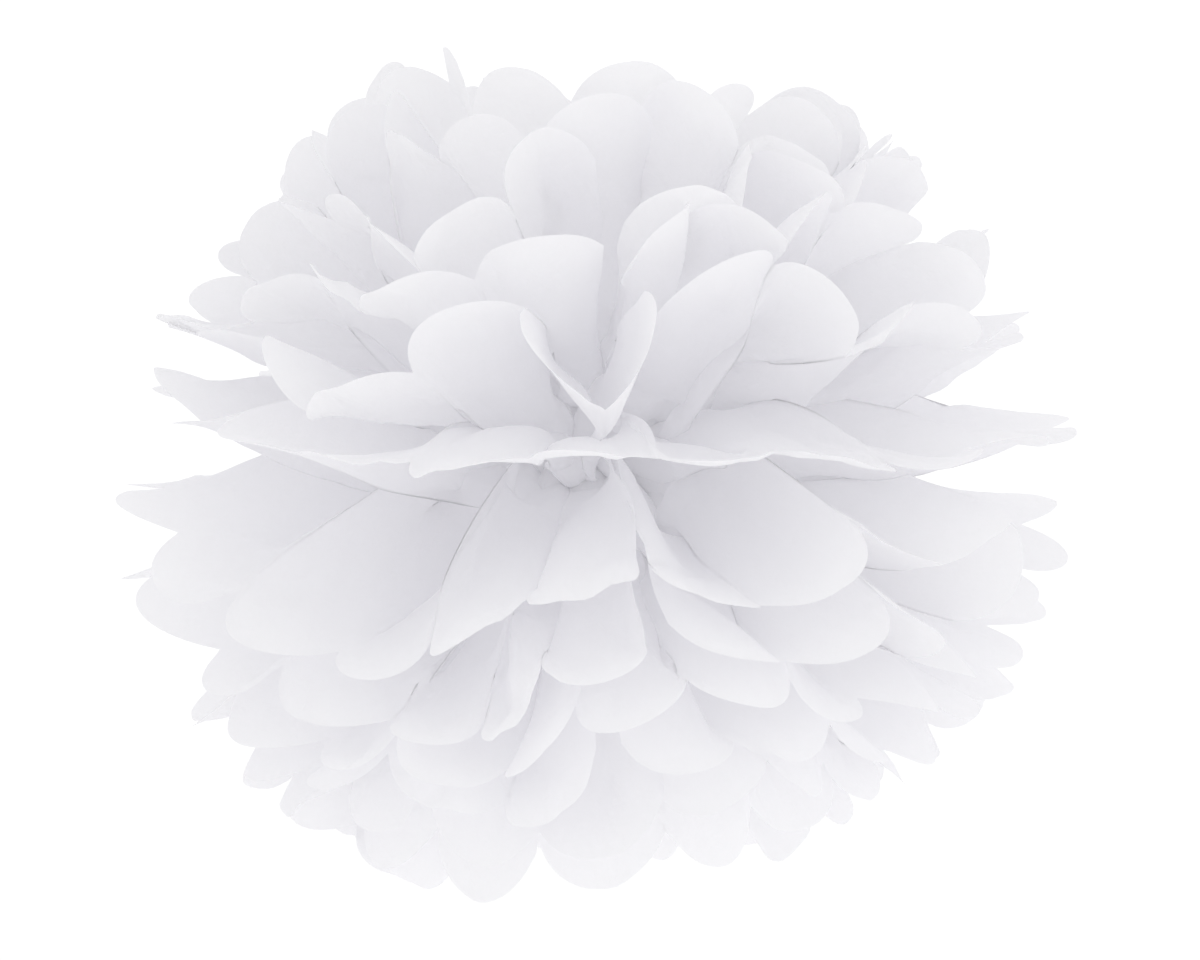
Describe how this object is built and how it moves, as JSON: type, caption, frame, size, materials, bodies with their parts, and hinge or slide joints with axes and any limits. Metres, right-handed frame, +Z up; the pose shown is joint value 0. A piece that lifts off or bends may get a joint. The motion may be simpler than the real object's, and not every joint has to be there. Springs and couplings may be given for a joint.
{
  "type": "tissue paper pom pom",
  "caption": "Hanging paper ball: pleated tissue sheets tied at the waist with wire, their ends cut round, pulled apart up and down into a flower-like sphere.",
  "frame": {"origin": "centre of the tie, which is the middle of the ball", "axes": "+Z up the stack of sheets, towards the hanging eye; +X along the pleated strip, so the fans open towards +X and -X and their free edges meet at the front (-Y) and the back (+Y)"},
  "size_m": [0.247, 0.2458, 0.2222],
  "materials": {
    "white_tissue": "matt white tissue, thin enough to glow against the light",
    "tie_wire": "bare galvanised florist's wire"
  },
  "bodies": {
    "root": {"tissue_sheet_01": "white_tissue", "tissue_sheet_02": "white_tissue", "tissue_sheet_03": "white_tissue", "tissue_sheet_04": "white_tissue", "tissue_sheet_05": "white_tissue", "tissue_sheet_06": "white_tissue", "tissue_sheet_07": "white_tissue", "tissue_sheet_08": "white_tissue", "tissue_sheet_09": "white_tissue", "tissue_sheet_10": "white_tissue", "tissue_sheet_11": "white_tissue", "tissue_sheet_12": "white_tissue", "tie_wire": "tie_wire"}
  },
  "joints": []
}
